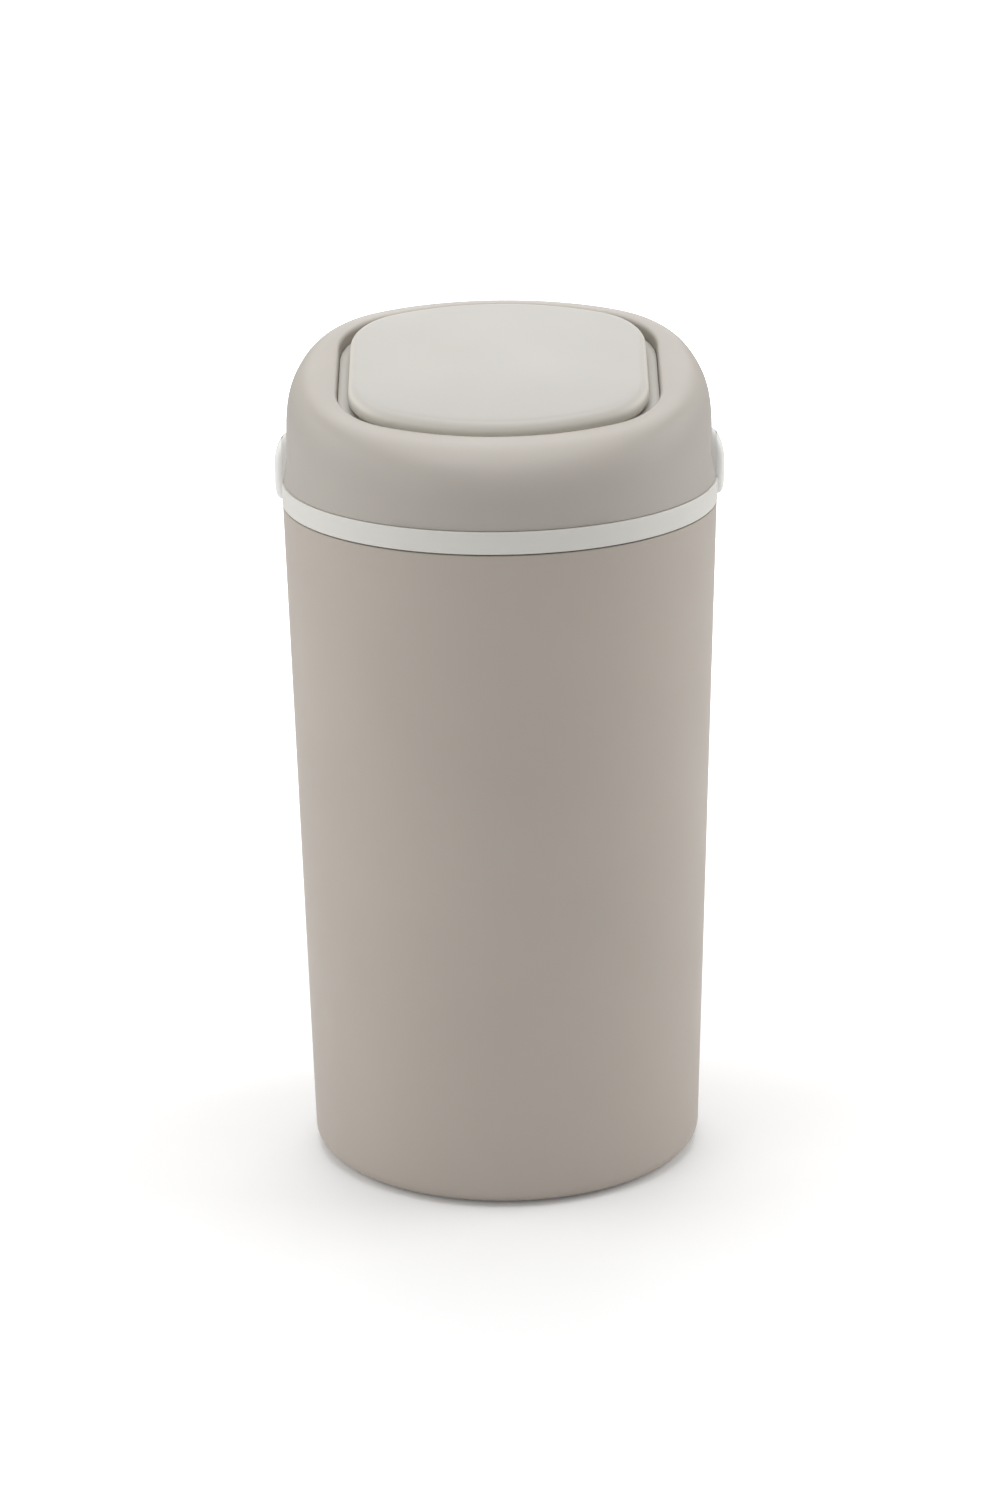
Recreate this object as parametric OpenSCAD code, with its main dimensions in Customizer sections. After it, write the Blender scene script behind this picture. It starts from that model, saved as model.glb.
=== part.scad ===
// Nappy bin: tapered bucket, bag ring with two side lugs, and a lift-off head whose sloping
// mouth is closed by a hinged lid over a chute with a sprung trap door.
// Millimetres, +Z up, front towards -Y, origin at the centre of the footprint.

/* [Body] */
// Height of the joint between the body and the bag ring
seam_z = 426.5; // [380:0.5:470]
// Outer radius the tapered wall would have at floor level
foot_r = 123.6; // [112:0.1:128]
// Outer radius of the wall at its rim
rim_r = 134.7; // [130:0.1:140]
// Radius of the rounded bottom edge
foot_round = 11.5; // [6:0.5:20]
// Thickness of the bucket wall
body_wall = 2.5; // [2:0.1:4]
// Thickness of the bucket floor
floor_t = 3.4; // [3:0.1:6]
// Radius of each grip pad
pad_r = 9; // [6:0.5:14]
// Thickness of each grip pad
pad_t = 3; // [2.6:0.1:3.4]
// How far the grip pads stand proud of the floor
pad_proud = 1; // [0.6:0.1:1.5]
// Distance of the grip pads from the rounded bottom edge
pad_in = 7.1; // [3:0.1:43]
// Number of grip pads
pad_count = 4; // [3:1:8]

/* [Bag ring] */
// How far the ring's band stands out past the body's rim
ring_proud = 0.3; // [0.1:0.1:1]
// Height of the ring's visible band
ring_h = 13.8; // [10:0.1:20]
// Height of the shadow groove below the band
ring_reveal = 0.9; // [0.4:0.1:1.5]
// Depth of the skirt that presses the bag against the body
skirt_h = 26; // [15:1:40]
// Thickness of the skirt
skirt_t = 2.2; // [1.6:0.1:3]
// Room for the bag between skirt and body
bag_gap = 1; // [0.6:0.1:2]
// Height of the upstand that centres the head
upstand_h = 7; // [5:0.5:12]
// Thickness of the upstand
upstand_t = 2.4; // [1.8:0.1:4]
// Width of each side lug
lug_w = 24; // [16:1:36]
// Height of each side lug
lug_h = 41; // [32:0.5:48]
// Height of a lug's lower end above the joint
lug_foot = 1.6; // [1.2:0.1:4]
// How far each lug stands out from the head's wall
lug_proud = 6.4; // [4:0.1:9]
// Thickness of the soft ring between upstand and head
seal_t = 1.5; // [1:0.1:2]
// Height of that soft ring
seal_h = 3; // [2:0.5:5]
// Room between the soft ring and the head's narrowing wall
seal_room = 1.1; // [0.9:0.1:1.6]

/* [Head] */
// Thickness of the head's shell
head_wall = 2.6; // [2:0.1:4]
// How much the head's wall narrows up to the shoulder, at the sides
head_taper = 2.6; // [0:0.1:5]
// Height of the mouth's centre above the joint
mouth_z = 81.5; // [74:0.5:95]
// Slope of the mouth, down to the front
mouth_tilt = 13; // [8:0.1:14]
// Width of the head's shoulder at the sides, from its wall in to the mouth's crest
shoulder_w = 32; // [28:0.5:38]
// Width of the head's shoulder at the front and rear
shoulder_d = 40; // [36:0.1:44]
// Radius of the mouth's front and rear arcs
mouth_arc = 171; // [150:1:220]
// Radius of the mouth's corners
mouth_corner = 53; // [30:1:56]
// Radius of the rounded lip
lip_r = 3.3; // [2:0.1:4]
// Depth of the collar below the lip
collar_h = 15.6; // [12:0.1:18]
// Thickness of the collar
collar_t = 2.6; // [2:0.1:4]
// Where the shoulder starts at the sides, above the joint
shoulder_side = 30; // [20:1:50]
// Where the shoulder starts at the front and rear, above the joint
shoulder_end = 22; // [16:1:30]
// How square the shoulder is at the sides
square_side = 3.9; // [2:0.1:5]
// How square the shoulder is at the front and rear
square_end = 3; // [2:0.1:4]

/* [Inner frame and chute] */
// Thickness of the frame's deck
deck_t = 3; // [2.4:0.1:4]
// How far the deck reaches out past the mouth's crest
deck_flange = 11.5; // [10:0.5:13]
// Gap between the chute's wall and the latch's housing
chute_gap = 0.3; // [0.2:0.1:6]
// Wall of the chute
chute_wall = 2; // [1.6:0.1:3]
// Offset of the chute towards the front
chute_front = 4; // [2:0.5:6]
// How far the chute reaches below the joint
chute_drop = 30; // [20:1:40]
// Distance from the chute's bore out to the middle of the lid's gasket
gasket_out = 6.6; // [4:0.1:8]
// Thickness of the lid's gasket
gasket_t = 3.2; // [2.4:0.1:4]
// Depth of the ledge round the lid, below the mouth's crest
ledge_drop = 8; // [6.5:0.1:10]
// Gap between the ledge and the lid's skirt
ledge_gap = 0.9; // [0.7:0.1:1.5]

/* [Lid] */
// Gap between the lid and the mouth
lid_gap = 7; // [5:0.1:8]
// How far the lid stands above the mouth's crest
lid_proud = 6.5; // [2:0.5:7]
// Height of the lid from its top to its underside
lid_h = 17.5; // [14.5:0.5:19]
// Radius of the lid's rounded top edge
lid_round = 6; // [4:0.5:7]
// Wall of the lid's top shell
lid_wall = 2.4; // [2:0.1:3]
// Depth of the lid's overhanging edge, below the mouth's crest
lid_edge_drop = 5.2; // [4:0.1:6]
// How far the lid's edge overhangs its skirt
lid_over = 2.2; // [1.5:0.1:3]
// Thickness of the lid's underside
under_t = 3; // [2.6:0.1:3.4]
// How far the hinge lies in front of the lid's rear edge
hinge_in = 11.5; // [10.5:0.1:12.5]
// Depth of the hinge below the mouth's crest
hinge_drop = 6; // [5:0.1:7]
// Radius of the lid's and trap door's hinge pins
pin_r = 1.5; // [1.2:0.1:2]
// Radius of the hinge knuckles
knuckle_r = 4.5; // [3.6:0.1:4.8]
// Distance of each hinge ear from the middle
ear_x = 30; // [28:1:34]
// Width of each hinge ear
ear_w = 8; // [6:0.5:9]
// Width of each lid knuckle
knuckle_w = 10; // [6:0.5:12]

/* [Latch] */
// Distance of the latch from the lid's front edge
latch_in = 5.6; // [5:0.1:6.2]
// Width of the latch's housing
latch_w = 20; // [16:0.5:28]
// Depth of the latch's housing, front to rear
latch_d = 12; // [11:0.5:12.5]
// Height of the latch's housing
latch_h = 17; // [15:0.5:17.5]
// Radius of the plunger
plunger_r = 3; // [2.4:0.1:3.4]
// Travel of the plunger
plunger_travel = 3; // [2:0.1:3.5]

/* [Trap door] */
// Thickness of the trap door
trap_t = 3; // [2.4:0.1:5]
// How far the trap door overlaps the chute's wall
trap_over = 3; // [2:0.1:5]
// Distance from the trap door's edge back to its hinge
trap_back = 5; // [4:0.1:8]
// Height of the trap gasket
trap_gasket_h = 2.4; // [1.5:0.1:4]
// Distance of each trap hinge ear from the middle
trap_ear_x = 22; // [16:1:30]

/* [Screws] */
// Radius of a screw's shank
screw_r = 1.6; // [1.2:0.1:2]
// Radius of a screw's head
screw_head_r = 3; // [2.6:0.1:3.2]
// Height of a screw's head
screw_head_t = 1.6; // [1.2:0.1:2]

/* [Hidden] */
$fn = 64;
fine = 128;

taupe = [0.60, 0.56, 0.52];
light = [0.83, 0.81, 0.78];
rubber = [0.32, 0.31, 0.30];
steel = [0.70, 0.71, 0.73];
grey = [0.55, 0.54, 0.53];

clear = 0.3;      // gap between pieces that only lie near each other
run_fit = 0.05;   // radial clearance of a turning or sliding fit
tight = 0.02;     // radial clearance of a fixed fit, and of faces that rest on each other
pass_fit = 0.1;   // radial clearance of a hole that a screw passes through
eps = 0.01;       // overlap that joins shapes of one piece
over = 1;         // how far a cutting shape reaches past what it cuts
big = 400;        // longer than anything it cuts

// Body
floor_z = pad_proud;
taper = (rim_r - foot_r) / seam_z;
pad_circle = foot_r - foot_round - pad_in - pad_r;
function wall_r(z) = foot_r + taper * z;

// Bag ring
ring_r = rim_r + ring_proud;
skirt_top_r = rim_r - body_wall - bag_gap;
skirt_end_r = skirt_top_r - taper * skirt_h;
head_r = ring_r - 1;
upstand_r = head_r - head_wall - seal_t - seal_room;
band_in_r = upstand_r - upstand_t;
edge_r = 0.8;       // bevel of the band's edges
skirt_lead = 2;     // height of the skirt's bevelled lower end
skirt_lead_in = 0.6;
upstand_lead = 1;   // bevel that leads the head onto the upstand
lug_spread = 3;     // degrees that a lug's band reaches past its width
lug_depth = 10;

// Head
ring_top = seam_z + ring_h;
mouth_w = head_r - shoulder_w; // half the width of the mouth's crest
mouth_d = head_r - shoulder_d; // half its depth, along the slope
collar_gap = 0.4;   // between the collar's lower edge and the deck
deck_top = -collar_h - collar_gap;
deck_bot = deck_top - deck_t;
steps = 12;         // rows of the shoulder
skin_over = 0.4;    // how far the shoulder's inner skin runs into the collar
boss_r = 4;
boss_out = 6;
boss_hole = 10;
frame_screw_l = 9;
frame_screw_at = [[-1, -0.30], [1, -0.30], [-1, 0.40], [1, 0.40]];

// Lid
lid_inset = lip_r + lid_gap;
skirt_inset = lid_inset + lid_over;
cavity_inset = skirt_inset + lid_wall;
lid_top_z = lid_proud;
lid_bot_z = lid_proud - lid_h;
lid_half_d = mouth_d - lid_inset;
hinge_y = lid_half_d - hinge_in;
hinge_z = -hinge_drop;
well_front = 8;
well_y = hinge_y - well_front; // front edge of the deck's well
well_out = 4;             // how far the well reaches past the lid's rear edge
under_front = 10;
under_y = hinge_y - under_front; // rear edge of the lid's underside
stem_t = 5;               // an ear's stem, which is narrower than its knuckle
stem_w = ear_w - 1.6;
stem_lean = 45;
stem_foot = 0.5;
notch_gap = 1;            // room round each ear in the lid's rear wall
notch_y = hinge_y + 2;
tongue = 6;               // how far a knuckle's tongue runs under the lid
knuckle_x = ear_x - ear_w / 2 - clear - knuckle_w / 2;
lid_screw_at = [[-0.676, -0.454], [0.676, -0.454], [-0.676, 0.406], [0.676, 0.406]];
lid_boss_r = 3.6;
lid_screw_l = 8;
lid_hole_in = 7.2;
lid_hole = under_t + lid_hole_in; // how deep the screw holes reach from the lid's underside
round_steps = [0, 22.5, 45, 67.5, 90];

// Chute: its upright wall passes just behind the lower end of the tilted latch housing
latch_y = -lid_half_d + latch_in;
latch_rear = (latch_y + latch_d / 2) * cos(mouth_tilt) - (deck_bot - latch_h) * sin(mouth_tilt);
chute_r = -latch_rear - chute_front - chute_gap - chute_wall;
chute_out = chute_r + chute_wall;
gasket_r = chute_r + gasket_out;
chute_z0 = seam_z - chute_drop;
flange_wide = 8.6;
flange_narrow = 2;
chute_flange_r = chute_out + flange_wide;
chute_flange_in = chute_out + flange_narrow;
chute_lobe_r = 5;
chute_screw_l = 5;
gasket_seat = 1;          // width and depth of the trap gasket's groove
gasket_in = chute_r + 0.5;
chute_screw_at = [200, 340, 60, 120];
chute_screw_out = 5.2;
chute_screw_r = chute_out + chute_screw_out;
chute_flange_t = 2.4;
gasket_y = -chute_front / cos(mouth_tilt);

// Latch
latch_floor = 1.6;        // thickness of the housing's lower end
latch_ear = 9;            // width of each screw ear
latch_ear_t = 2;
latch_screw_out = 4.5;
latch_screw_l = 4.8;
guide_h = 4;              // length of the plunger's upper guide
flange_h = 1.6;           // the collar on the plunger that the spring pushes
flange_out = 1.5;
cavity_r = plunger_r + flange_out + clear;
plunger_tail = 2.8;       // how far the plunger shows below the housing when pressed
plunger_low = plunger_travel - plunger_tail - latch_h;
spring_turns = 4;

// Springs
spring_wire = 0.6;
spring_gap = 0.4;
spring_leg_lean = 35;
coil_pitch = 1.9 * spring_wire;
coil_in = pin_r + spring_gap + spring_wire;
lid_turns = 7;
trap_turns = 9;
trap_leg = 14;
wire_steps = 24;

// Trap door
trap_r = chute_out + trap_over;
trap_top = chute_z0 - trap_gasket_h + gasket_seat - clear;
trap_hinge_y = trap_r + trap_back;
trap_hinge_z = trap_top - trap_t / 2;
trap_knuckle_r = 4;
trap_ear_w = 6;
trap_ear_h = 12;          // height of the ears above the chute's lower end
trap_arm_h = 8;
trap_gap_w = 16;          // gap between the knuckles for the spring
trap_half = trap_ear_x - trap_ear_w / 2 - clear;

// Outline
quarter_side = 4;
quarter_corner = 6;
quarter_arc = 6;

// ---------------------------------------------------------------- outlines and lofts

// One quarter of the mouth's outline, drawn in by `inset`: straight side, corner, end arc.
function quarter(inset) =
    let (hw = mouth_w - inset, hd = mouth_d - inset, arc = mouth_arc - inset)
    let (corner = mouth_corner - inset, yc = hd - arc, cx = hw - corner)
    let (cy = yc + sqrt(pow(arc - corner, 2) - cx * cx), turn = atan2(cy - yc, cx))
    concat(
        [for (i = [0 : quarter_side - 1]) [hw, cy * i / quarter_side]],
        [for (i = [0 : quarter_corner])
            let (a = turn * i / quarter_corner)
            [cx + corner * cos(a), cy + corner * sin(a)]],
        [for (i = [1 : quarter_arc])
            let (a = turn + (90 - turn) * i / quarter_arc)
            [arc * cos(a), yc + arc * sin(a)]]);

// The whole outline, counter-clockwise from the right.
function outline(inset) =
    let (q = quarter(inset), n = len(q) - 1)
    concat(
        q,
        [for (i = [n - 1 : -1 : 0]) [-q[i].x, q[i].y]],
        [for (i = [1 : n]) [-q[i].x, -q[i].y]],
        [for (i = [n - 1 : -1 : 1]) [q[i].x, -q[i].y]]);

ring_n = len(outline(0));

// A point of the sloping mouth's frame, seen in the bin's frame.
function from_mouth(p) =
    [p.x,
     p.y * cos(mouth_tilt) - p.z * sin(mouth_tilt),
     seam_z + mouth_z + p.y * sin(mouth_tilt) + p.z * cos(mouth_tilt)];

module on_mouth() {
    translate([0, 0, seam_z + mouth_z]) rotate([mouth_tilt, 0, 0]) children();
}

// A solid whose rows are the outline drawn in by row[0] at height row[1], from the bottom up.
module stack(rows) {
    count = len(rows);
    points = concat(
        [for (row = rows) for (p = outline(row[0])) [p.x, p.y, row[1]]],
        [[0, 0, rows[0][1]], [0, 0, rows[count - 1][1]]]);
    last = (count - 1) * ring_n;
    centre = count * ring_n;
    faces = concat(
        [for (i = [0 : ring_n - 1]) [centre, i, (i + 1) % ring_n]],
        [for (k = [0 : count - 2]) for (i = [0 : ring_n - 1])
            let (a = k * ring_n + i, b = k * ring_n + (i + 1) % ring_n)
            [a, a + ring_n, b + ring_n, b]],
        [for (i = [0 : ring_n - 1]) [centre + 1, last + (i + 1) % ring_n, last + i]]);
    polyhedron(points, faces, convexity = 6);
}

module plate(inset, z0, z1) {
    translate([0, 0, z0]) linear_extrude(z1 - z0) polygon(outline(inset));
}

// A closed tube of rows: the last row joins the first again.
module tube_of_rows(rows) {
    points = [for (row = rows) each row];
    count = len(rows);
    faces = [for (k = [0 : count - 1]) for (i = [0 : ring_n - 1])
        let (a = k * ring_n, b = ((k + 1) % count) * ring_n, j = (i + 1) % ring_n)
        [a + i, b + i, b + j, a + j]];
    polyhedron(points, faces, convexity = 8);
}

// Row of the head's shell: the curve climbs from the wall, at s = 0, to the crest, at s = 90,
// as a superellipse that is squarer at the sides than at the front and rear.
function shoulder_row(s, wall, inset, drop) =
    [for (p = outline(inset))
        let (crest = from_mouth([p.x, p.y, -drop]))
        let (along = norm([crest.x, crest.y]), side = pow(crest.x / along, 2))
        let (power = 2 / (square_end + (square_side - square_end) * side))
        let (start = seam_z + shoulder_end + (shoulder_side - shoulder_end) * side)
        let (shoulder_r = head_r - head_taper * side - wall)
        let (r = along + (shoulder_r - along) * pow(cos(s), power))
        [crest.x / along * r, crest.y / along * r, start + (crest.z - start) * pow(sin(s), power)]];

function wall_row(r, inset) =
    [for (p = outline(inset))
        let (crest = from_mouth([p.x, p.y, 0]), along = norm([crest.x, crest.y]))
        [crest.x / along * r, crest.y / along * r, ring_top]];

function mouth_row(inset, z) = [for (p = outline(inset)) from_mouth([p.x, p.y, z])];

// ---------------------------------------------------------------- shared small shapes

module rod_x(r, x0, x1) {
    translate([x0, 0, 0]) rotate([0, 90, 0]) cylinder(r = r, h = x1 - x0);
}

// Screw whose head sits below z = 0 and whose shank points up
module screw(length) {
    translate([0, 0, -screw_head_t]) cylinder(r = screw_head_r, h = screw_head_t);
    translate([0, 0, -eps]) cylinder(r = screw_r, h = length);
}

// Close-wound coil along X, with its turns joined where they touch
module coil_x(turns, coil_r) {
    rotate([0, 90, 0]) rotate_extrude() for (i = [0 : turns - 1])
        translate([coil_r, (i - (turns - 1) / 2) * coil_pitch]) circle(spring_wire, $fn = wire_steps);
}

// Straight leg of a coil, slightly thinner than its wire so that it enters the turns cleanly
module spring_leg(length) {
    cylinder(r = spring_wire * 0.8, h = length, $fn = wire_steps);
}

// ---------------------------------------------------------------- body

module bucket_solid(inner) {
    t = inner ? body_wall : 0;
    z0 = inner ? floor_z + floor_t : floor_z;
    z1 = inner ? seam_z + over : seam_z;
    fr = inner ? foot_round - body_wall : foot_round;
    slope = atan(taper);
    side_r = wall_r(z0) - t;
    centre_r = side_r - fr * (1 - sin(slope)) / cos(slope);
    rotate_extrude($fn = fine) {
        polygon([
            [0, z0],
            [centre_r, z0],
            [centre_r, z0 + fr],
            [centre_r + fr * cos(slope), z0 + fr - fr * sin(slope)],
            [wall_r(z1) - t, z1],
            [0, z1]]);
        intersection() {
            translate([centre_r, z0 + fr]) circle(fr, $fn = fine);
            translate([centre_r - eps, z0]) square([fr + over, fr + eps - fr * min(0, sin(slope))]);
        }
    }
}

module pad_places() {
    for (i = [0 : pad_count - 1]) rotate(45 + i * 360 / pad_count)
        translate([pad_circle, 0, 0]) children();
}

module body_shell() {
    color(taupe) difference() {
        bucket_solid(false);
        bucket_solid(true);
        pad_places() translate([0, 0, -over]) cylinder(r = pad_r + clear, h = pad_t + over + tight);
    }
}

module foot_pads() {
    color(rubber) pad_places() cylinder(r = pad_r, h = pad_t);
}

// ---------------------------------------------------------------- bag ring

// Upright lug at +X: a band that bulges out past the head's wall, cut to a rounded outline
module lug() {
    in_r = head_r + clear;
    bulge = lug_h / 2;
    dome_r = (lug_proud * lug_proud + bulge * bulge) / (2 * lug_proud);
    reach = asin(lug_w / 2 / in_r) + lug_spread;
    end_r = lug_w / 2;
    translate([0, 0, seam_z + lug_foot + bulge]) intersection() {
        rotate(-reach) rotate_extrude(angle = 2 * reach, $fn = fine) intersection() {
            translate([in_r + lug_proud - dome_r, 0]) circle(dome_r, $fn = fine);
            translate([in_r, -bulge]) square([lug_proud + over, lug_h]);
        }
        translate([in_r - lug_depth, 0, 0]) rotate([90, 0, 90])
            linear_extrude(lug_proud + 2 * lug_depth) union() {
                square([lug_w, lug_h - 2 * end_r], center = true);
                for (y = [-1, 1]) translate([0, y * (bulge - end_r)]) circle(end_r);
            }
    }
}

module ring_profile() {
    polygon([
        [band_in_r, seam_z],
        [skirt_end_r - skirt_t, seam_z - skirt_h],
        [skirt_end_r - skirt_lead_in, seam_z - skirt_h],
        [skirt_end_r, seam_z - skirt_h + skirt_lead],
        [skirt_top_r, seam_z],
        [rim_r - edge_r, seam_z],
        [ring_r - edge_r, seam_z + ring_reveal],
        [ring_r, seam_z + ring_reveal],
        [ring_r, ring_top - edge_r],
        [ring_r - edge_r, ring_top],
        [upstand_r, ring_top],
        [upstand_r, ring_top + upstand_h - upstand_lead],
        [upstand_r - upstand_lead, ring_top + upstand_h],
        [band_in_r, ring_top + upstand_h]]);
}

module bag_ring() {
    color(light) union() {
        rotate_extrude($fn = fine) ring_profile();
        lug();
        mirror([1, 0, 0]) lug();
    }
}

module head_seal() {
    color(rubber) translate([0, 0, ring_top + upstand_h / 2 - seal_h / 2])
        rotate_extrude($fn = fine) translate([upstand_r + run_fit, 0]) square([seal_t, seal_h]);
}

// ---------------------------------------------------------------- head

module head_skin() {
    tube_of_rows(concat(
        [wall_row(head_r, 0)],
        [for (i = [0 : steps]) shoulder_row(90 * i / steps, 0, 0, 0)],
        [for (a = [30, 60, 90]) mouth_row(lip_r * sin(a), -lip_r * (1 - cos(a)))],
        [mouth_row(lip_r, -collar_h)],
        [mouth_row(lip_r - collar_t, -collar_h)],
        [for (i = [0 : steps])
            shoulder_row(90 - 90 * i / steps, head_wall, lip_r - collar_t - skin_over, head_wall)],
        [wall_row(head_r - head_wall, 0)]));
}

module frame_screw_places() {
    for (p = frame_screw_at)
        translate([p.x * (mouth_w + boss_out), p.y * mouth_d, 0]) children();
}

module head_shell() {
    color(taupe) difference() {
        union() {
            head_skin();
            on_mouth() frame_screw_places()
                translate([0, 0, deck_top + tight]) cylinder(r = boss_r, h = -deck_top - head_wall / 2);
        }
        on_mouth() frame_screw_places()
            translate([0, 0, deck_top - over]) cylinder(r = screw_r + tight, h = boss_hole);
    }
}

// Hole in the deck behind the hinge, which the lid's rear edge swings down into
module rear_well() {
    linear_extrude(big, center = true) intersection() {
        polygon(outline(lid_inset - well_out));
        translate([-big / 2, well_y]) square([big, big]);
    }
}

module hinge_ear() {
    rod_x(knuckle_r, -ear_w / 2, ear_w / 2);
    stem = (hinge_z - deck_top) / cos(stem_lean) + stem_foot;
    rotate([-stem_lean, 0, 0]) translate([-stem_w / 2, -stem_t / 2, -stem]) cube([stem_w, stem_t, stem]);
}

module hinge_axis() {
    translate([0, hinge_y, hinge_z]) children();
}

// Raised ledge round the lid, between the collar and the lid's skirt
module ledge() {
    translate([0, 0, deck_bot + over]) linear_extrude(-ledge_drop - deck_bot - over) difference() {
        polygon(outline(lip_r + collar_gap));
        polygon(outline(skirt_inset - ledge_gap));
    }
}

module inner_frame() {
    color(light) difference() {
        union() {
            on_mouth() difference() {
                union() {
                    plate(-deck_flange, deck_bot, deck_top);
                    ledge();
                }
                rear_well();
            }
            on_mouth() for (side = [-1, 1]) translate([side * ear_x, 0, 0]) hinge_axis() hinge_ear();
        }
        translate([0, -chute_front, seam_z]) cylinder(r = chute_r, h = big);
        on_mouth() frame_screw_places()
            translate([0, 0, deck_bot - over]) cylinder(r = screw_r + pass_fit, h = deck_t + 2 * over);
        on_mouth() chute_screw_places()
            translate([0, 0, deck_bot - over]) cylinder(r = screw_r + tight, h = deck_t + 2 * over);
        on_mouth() latch_screw_places()
            translate([0, 0, deck_bot - over]) cylinder(r = screw_r + tight, h = deck_t + 2 * over);
        on_mouth() translate([0, latch_y, deck_bot - over])
            cylinder(r = plunger_r + clear, h = deck_t + 2 * over);
        on_mouth() hinge_axis() rod_x(pin_r + tight, -ear_x - ear_w, ear_x + ear_w);
    }
}

module frame_screws() {
    color(steel) on_mouth() frame_screw_places() translate([0, 0, deck_bot]) screw(frame_screw_l);
}

// ---------------------------------------------------------------- chute

module chute_screw_places() {
    translate([0, gasket_y, 0]) for (a = chute_screw_at)
        rotate(a) translate([chute_screw_r, 0, 0]) children();
}

module chute() {
    color(grey) difference() {
        union() {
            difference() {
                translate([0, -chute_front, chute_z0]) cylinder(r = chute_out, h = big, $fn = fine);
                on_mouth() translate([-big / 2, -big / 2, deck_bot]) cube(big);
            }
            on_mouth() translate([0, gasket_y, deck_bot - chute_flange_t]) intersection() {
                cylinder(r = chute_flange_r, h = chute_flange_t);
                union() {
                    cylinder(r = chute_flange_in, h = chute_flange_t);
                    for (a = chute_screw_at) rotate(a) translate([chute_screw_r, 0, 0])
                        cylinder(r = chute_lobe_r, h = chute_flange_t);
                }
            }
            for (side = [-1, 1]) trap_ear(side);
        }
        translate([0, -chute_front, chute_z0 - over]) cylinder(r = chute_r, h = big, $fn = fine);
        on_mouth() chute_screw_places() translate([0, 0, deck_bot - chute_lobe_r])
            cylinder(r = screw_r + pass_fit, h = 2 * chute_lobe_r);
        translate([0, -chute_front + trap_hinge_y, trap_hinge_z])
            rod_x(pin_r + tight, -trap_ear_x - trap_ear_w, trap_ear_x + trap_ear_w);
        translate([0, -chute_front, chute_z0 - eps]) rotate_extrude($fn = fine)
            translate([gasket_in, 0]) square(gasket_seat);
    }
}

module trap_ear(side) {
    translate([side * trap_ear_x, -chute_front, 0]) {
        translate([0, trap_hinge_y, trap_hinge_z])
            rod_x(trap_knuckle_r, -trap_ear_w / 2, trap_ear_w / 2);
        translate([-trap_ear_w / 2, trap_hinge_y - trap_knuckle_r, trap_hinge_z])
            cube([trap_ear_w, 2 * trap_knuckle_r, chute_z0 + trap_ear_h - trap_hinge_z]);
        translate([-trap_ear_w / 2, chute_r / 2, chute_z0 + trap_ear_h - trap_arm_h])
            cube([trap_ear_w, trap_hinge_y - chute_r / 2, trap_arm_h]);
    }
}

module chute_screws() {
    color(steel) on_mouth() chute_screw_places()
        translate([0, 0, deck_bot - chute_flange_t]) screw(chute_screw_l);
}

module trap_gasket() {
    color(rubber) translate([0, -chute_front, chute_z0 - trap_gasket_h + gasket_seat])
        rotate_extrude($fn = fine) translate([gasket_in, 0]) square([gasket_seat, trap_gasket_h - tight]);
}

// ---------------------------------------------------------------- lid

module lid_gasket() {
    color(rubber) on_mouth() translate([0, gasket_y, deck_top + tight]) rotate_extrude($fn = fine)
        translate([gasket_r - gasket_t / 2, 0]) square([gasket_t, lid_bot_z - deck_top - clear]);
}

module lid_screw_places() {
    for (p = lid_screw_at)
        translate([p.x * (mouth_w - lid_inset), p.y * lid_half_d, 0]) children();
}

module lid_top() {
    under_top = lid_bot_z + under_t;
    color(light) on_mouth() difference() {
        union() {
            difference() {
                stack(concat(
                    [[skirt_inset, lid_bot_z],
                     [skirt_inset, -lid_edge_drop],
                     [lid_inset, -lid_edge_drop]],
                    [for (a = round_steps)
                        [lid_inset + lid_round * (1 - cos(a)), lid_top_z - lid_round * (1 - sin(a))]]));
                stack([
                    [cavity_inset, lid_bot_z - over],
                    [cavity_inset, lid_top_z - lid_round],
                    [cavity_inset + lid_round / 2, lid_top_z - lid_wall]]);
            }
            lid_screw_places() translate([0, 0, under_top + tight])
                cylinder(r = lid_boss_r, h = lid_top_z - lid_wall / 2 - under_top);
        }
        lid_screw_places() translate([0, 0, lid_bot_z]) cylinder(r = screw_r + tight, h = lid_hole);
        for (side = [-1, 1])
            translate([side * ear_x - ear_w / 2 - notch_gap, notch_y, lid_bot_z - over])
                cube([ear_w + 2 * notch_gap, big, over - lid_bot_z]);
    }
}

module lid_underside() {
    color(grey) on_mouth() difference() {
        union() {
            translate([0, 0, lid_bot_z]) linear_extrude(under_t) intersection() {
                polygon(outline(cavity_inset + clear));
                translate([-big / 2, under_y - big]) square([big, big]);
            }
            for (side = [-1, 1]) translate([side * knuckle_x, 0, 0]) {
                hinge_axis() rod_x(knuckle_r, -knuckle_w / 2, knuckle_w / 2);
                translate([-knuckle_w / 2, under_y - tongue, lid_bot_z])
                    cube([knuckle_w, hinge_y - under_y + tongue, under_t]);
            }
        }
        hinge_axis() rod_x(pin_r + run_fit, -ear_x, ear_x);
        lid_screw_places() translate([0, 0, lid_bot_z - over]) {
            cylinder(r = screw_r + pass_fit, h = under_t + 2 * over);
            cylinder(r = screw_head_r + pass_fit, h = over + screw_head_t);
        }
    }
}

module lid_screws() {
    color(steel) on_mouth() lid_screw_places()
        translate([0, 0, lid_bot_z + screw_head_t]) screw(lid_screw_l);
}

module lid_hinge_pin() {
    reach = ear_x + ear_w / 2;
    color(steel) on_mouth() hinge_axis() rod_x(pin_r, -reach, reach);
}

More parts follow.
